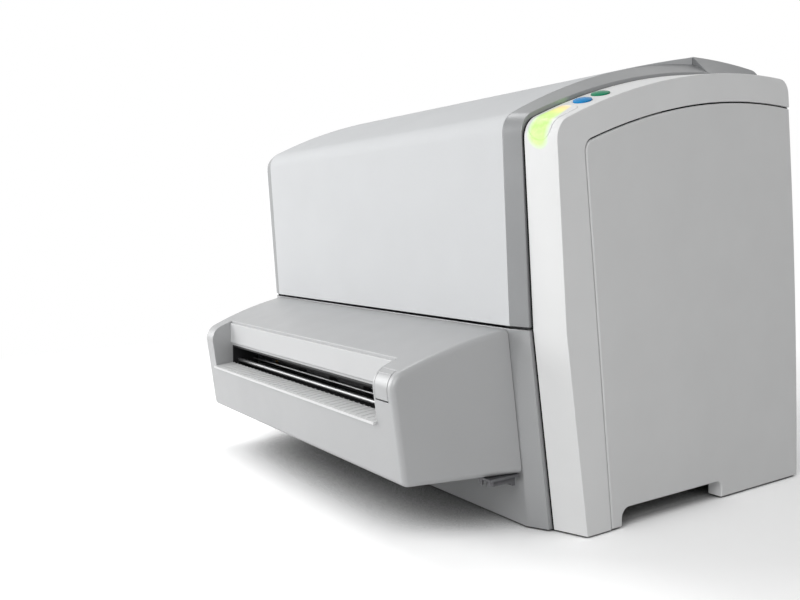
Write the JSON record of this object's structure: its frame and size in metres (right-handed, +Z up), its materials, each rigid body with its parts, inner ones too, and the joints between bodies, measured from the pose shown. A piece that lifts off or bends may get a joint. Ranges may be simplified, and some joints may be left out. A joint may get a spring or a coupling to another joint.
{
  "type": "computed radiography digitizer",
  "caption": "Tabletop digitizer with an arched housing, a hinged hood, inset side panels and a projecting input unit whose wide slot takes an imaging cassette.",
  "frame": {"origin": "under the middle of the bounding box, on the surface that the feet stand on", "axes": "+X along the width, to the right seen from the front; the front faces -Y; +Z up"},
  "size_m": [0.693, 0.6105, 0.5548],
  "materials": {
    "side_grey": "light grey moulded, satin",
    "panel_grey": "light grey moulded, satin",
    "hood_white": "near white satin",
    "silver_moulding": "silver-grey satin paint on a moulding",
    "light_window": "lit lime green",
    "blue_key": "blue, glossy",
    "green_key": "green, glossy",
    "black_moulding": "black, matt",
    "zinc_steel": "zinc plated sheet",
    "bright_steel": "ground bar",
    "black_rubber": "moulded rubber",
    "roller_rubber": "rubber bands on a steel shaft",
    "cast_alloy": "cast and painted",
    "bronze": "sintered bush",
    "mirror_glass": "coated mirror",
    "optical_glass": "polished",
    "clear_acrylic": "clear light guide",
    "lamp_glass": "frosted tube",
    "board_green": "circuit board"
  },
  "bodies": {
    "machine": {"base_tray": "zinc_steel", "rubber_feet": "black_rubber", "left_frame_plate": "zinc_steel", "right_frame_plate": "zinc_steel", "cross_members": "zinc_steel", "lower_front_cover": "silver_moulding", "right_side_housing": "side_grey", "left_side_housing": "side_grey", "right_side_panel": "panel_grey", "left_side_panel": "panel_grey", "status_light_lens": "light_window", "strip_boards": "board_green", "rear_panel": "zinc_steel", "rear_panel_screws": "zinc_steel", "mains_inlet": "black_moulding", "data_socket": "zinc_steel", "fan_housing": "black_moulding", "fan_guard": "bright_steel", "input_unit_housing": "silver_moulding", "slot_visor": "silver_moulding", "cassette_shelf": "silver_moulding", "slot_throat": "black_moulding", "guide_bars": "bright_steel", "latch_bracket": "zinc_steel", "scan_unit_housing": "cast_alloy", "scan_unit_cover": "cast_alloy", "scan_lens": "optical_glass", "scan_mirror_motor": "cast_alloy", "fold_mirror": "mirror_glass", "light_collector": "clear_acrylic", "photomultiplier": "black_moulding", "erase_unit_housing": "zinc_steel", "erase_lamps": "lamp_glass", "plate_bed": "black_moulding", "transport_side_rails": "zinc_steel", "roller_bushes": "bronze", "drive_motor": "cast_alloy", "drive_belt": "black_rubber", "power_supply": "zinc_steel", "control_board": "board_green", "hood_hinge_brackets": "zinc_steel"},
    "hood": {"hood_frame": "silver_moulding", "hood_panel": "hood_white", "hood_hinge_leaves": "zinc_steel"},
    "blue_key": {"blue_key": "blue_key"},
    "green_key": {"green_key": "green_key"},
    "release_key": {"release_key": "silver_moulding"},
    "feed_roller": {"feed_roller": "roller_rubber"},
    "feed_pinch_roller": {"feed_pinch_roller": "roller_rubber"},
    "front_transport_roller": {"front_transport_roller": "roller_rubber"},
    "front_pinch_roller": {"front_pinch_roller": "roller_rubber"},
    "rear_transport_roller": {"rear_transport_roller": "roller_rubber"},
    "rear_pinch_roller": {"rear_pinch_roller": "roller_rubber"},
    "motor_pulley": {"motor_pulley": "cast_alloy"},
    "scan_mirror": {"scan_mirror": "mirror_glass"},
    "fan_rotor": {"fan_rotor": "black_moulding"},
    "power_switch": {"power_switch": "black_moulding"},
    "dust_flap": {"dust_flap": "black_moulding"},
    "latch_lever": {"latch_lever": "zinc_steel"}
  },
  "joints": [
    {"name": "hood_lid", "type": "hinge", "parent": "machine", "child": "hood", "pos_m": [0, 0.24, 0.508], "axis": [-1, 0, 0], "range_deg": [0, 58]},
    {"name": "blue_key_press", "type": "slide", "parent": "machine", "child": "blue_key", "axis": [-0.1923, 0.3442, -0.919], "range_m": [0, 0.0015], "stiffness_N_per_m": 900, "springref_m": -0.0006},
    {"name": "green_key_press", "type": "slide", "parent": "machine", "child": "green_key", "axis": [-0.1816, 0.3137, -0.932], "range_m": [0, 0.0015], "stiffness_N_per_m": 900, "springref_m": -0.0006},
    {"name": "release_key_press", "type": "hinge", "parent": "machine", "child": "release_key", "pos_m": [0.237, -0.294, 0.1825], "axis": [1, 0, 0], "range_deg": [0, 4], "stiffness_Nm_per_rad": 0.6, "springref_deg": -2.86},
    {"name": "feed_roller_turn", "type": "hinge", "parent": "machine", "child": "feed_roller", "pos_m": [0, -0.188, 0.1265], "axis": [1, 0, 0], "continuous": true},
    {"name": "feed_pinch_turn", "type": "hinge", "parent": "machine", "child": "feed_pinch_roller", "pos_m": [0, -0.188, 0.1615], "axis": [1, 0, 0], "continuous": true},
    {"name": "front_transport_turn", "type": "hinge", "parent": "machine", "child": "front_transport_roller", "pos_m": [0, -0.118, 0.134], "axis": [1, 0, 0], "continuous": true},
    {"name": "front_pinch_turn", "type": "hinge", "parent": "machine", "child": "front_pinch_roller", "pos_m": [0, -0.118, 0.1543], "axis": [1, 0, 0], "continuous": true},
    {"name": "rear_transport_turn", "type": "hinge", "parent": "machine", "child": "rear_transport_roller", "pos_m": [0, 0.02, 0.134], "axis": [1, 0, 0], "continuous": true},
    {"name": "rear_pinch_turn", "type": "hinge", "parent": "machine", "child": "rear_pinch_roller", "pos_m": [0, 0.02, 0.1543], "axis": [1, 0, 0], "continuous": true},
    {"name": "motor_turn", "type": "hinge", "parent": "machine", "child": "motor_pulley", "pos_m": [0, -0.05, 0.112], "axis": [1, 0, 0], "continuous": true},
    {"name": "scan_mirror_swing", "type": "hinge", "parent": "machine", "child": "scan_mirror", "pos_m": [0, 0.12, 0.346], "axis": [0, 0, 1], "range_deg": [-12, 12]},
    {"name": "fan_spin", "type": "hinge", "parent": "machine", "child": "fan_rotor", "pos_m": [0, 0.24112, 0.40867], "axis": [0, 0.9947, 0.1023], "continuous": true},
    {"name": "power_switch_rock", "type": "hinge", "parent": "machine", "child": "power_switch", "pos_m": [-0.2, 0.28455, 0.07452], "axis": [-1, 0, 0], "range_deg": [0, 14]},
    {"name": "dust_flap_swing", "type": "hinge", "parent": "machine", "child": "dust_flap", "pos_m": [0, -0.228, 0.166], "axis": [1, 0, 0], "range_deg": [0, 80], "stiffness_Nm_per_rad": 0.01, "springref_deg": -11.46},
    {"name": "latch_lever_swing", "type": "hinge", "parent": "machine", "child": "latch_lever", "pos_m": [0.275, -0.184, 0.062], "axis": [0, 0, -1], "range_deg": [0, 45]}
  ],
  "couplings": [
    {"joint": "feed_pinch_turn", "follows": "feed_roller_turn", "ratio": -1.5},
    {"joint": "front_transport_turn", "follows": "feed_roller_turn", "ratio": 1},
    {"joint": "front_pinch_turn", "follows": "feed_roller_turn", "ratio": -1.5},
    {"joint": "rear_transport_turn", "follows": "feed_roller_turn", "ratio": 1},
    {"joint": "rear_pinch_turn", "follows": "feed_roller_turn", "ratio": -1.5},
    {"joint": "motor_turn", "follows": "feed_roller_turn", "ratio": 2}
  ]
}
